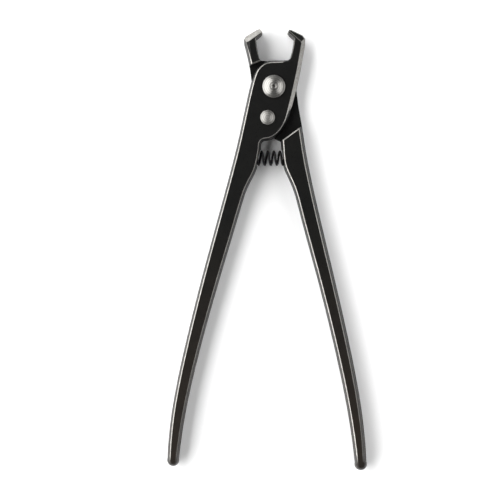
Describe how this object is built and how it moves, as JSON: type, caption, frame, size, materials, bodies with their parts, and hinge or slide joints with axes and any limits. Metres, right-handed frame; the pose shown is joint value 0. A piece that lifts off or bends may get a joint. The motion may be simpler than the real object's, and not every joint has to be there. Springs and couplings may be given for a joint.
{
  "type": "fencing pliers",
  "caption": "Forged lap-joint pliers with inward-bent blunt noses, domed rivets and a return spring, for closing wire rings on fences and vines.",
  "frame": {"origin": "on the pivot axis, at the flat back the pliers rest on", "axes": "+Y from the pivot towards the jaws, +X to the right seen from the front, +Z out of the front face"},
  "size_m": [0.1138, 0.2513, 0.0159],
  "materials": {
    "black_forging": "satin black",
    "bright_steel": "turned and burnished",
    "black_spring": "black oxide"
  },
  "bodies": {
    "front": {"front_half": "black_forging", "stop_rivet": "bright_steel", "return_spring": "black_spring"},
    "rear": {"rear_half": "black_forging", "pivot_rivet": "bright_steel"}
  },
  "joints": [
    {"name": "jaw_pivot", "type": "hinge", "parent": "front", "child": "rear", "pos_m": [0, 0, 0], "axis": [0, 0, -1], "range_deg": [0, 14], "stiffness_Nm_per_rad": 7.3, "springref_deg": -8.59, "deforming": ["return_spring"]}
  ]
}
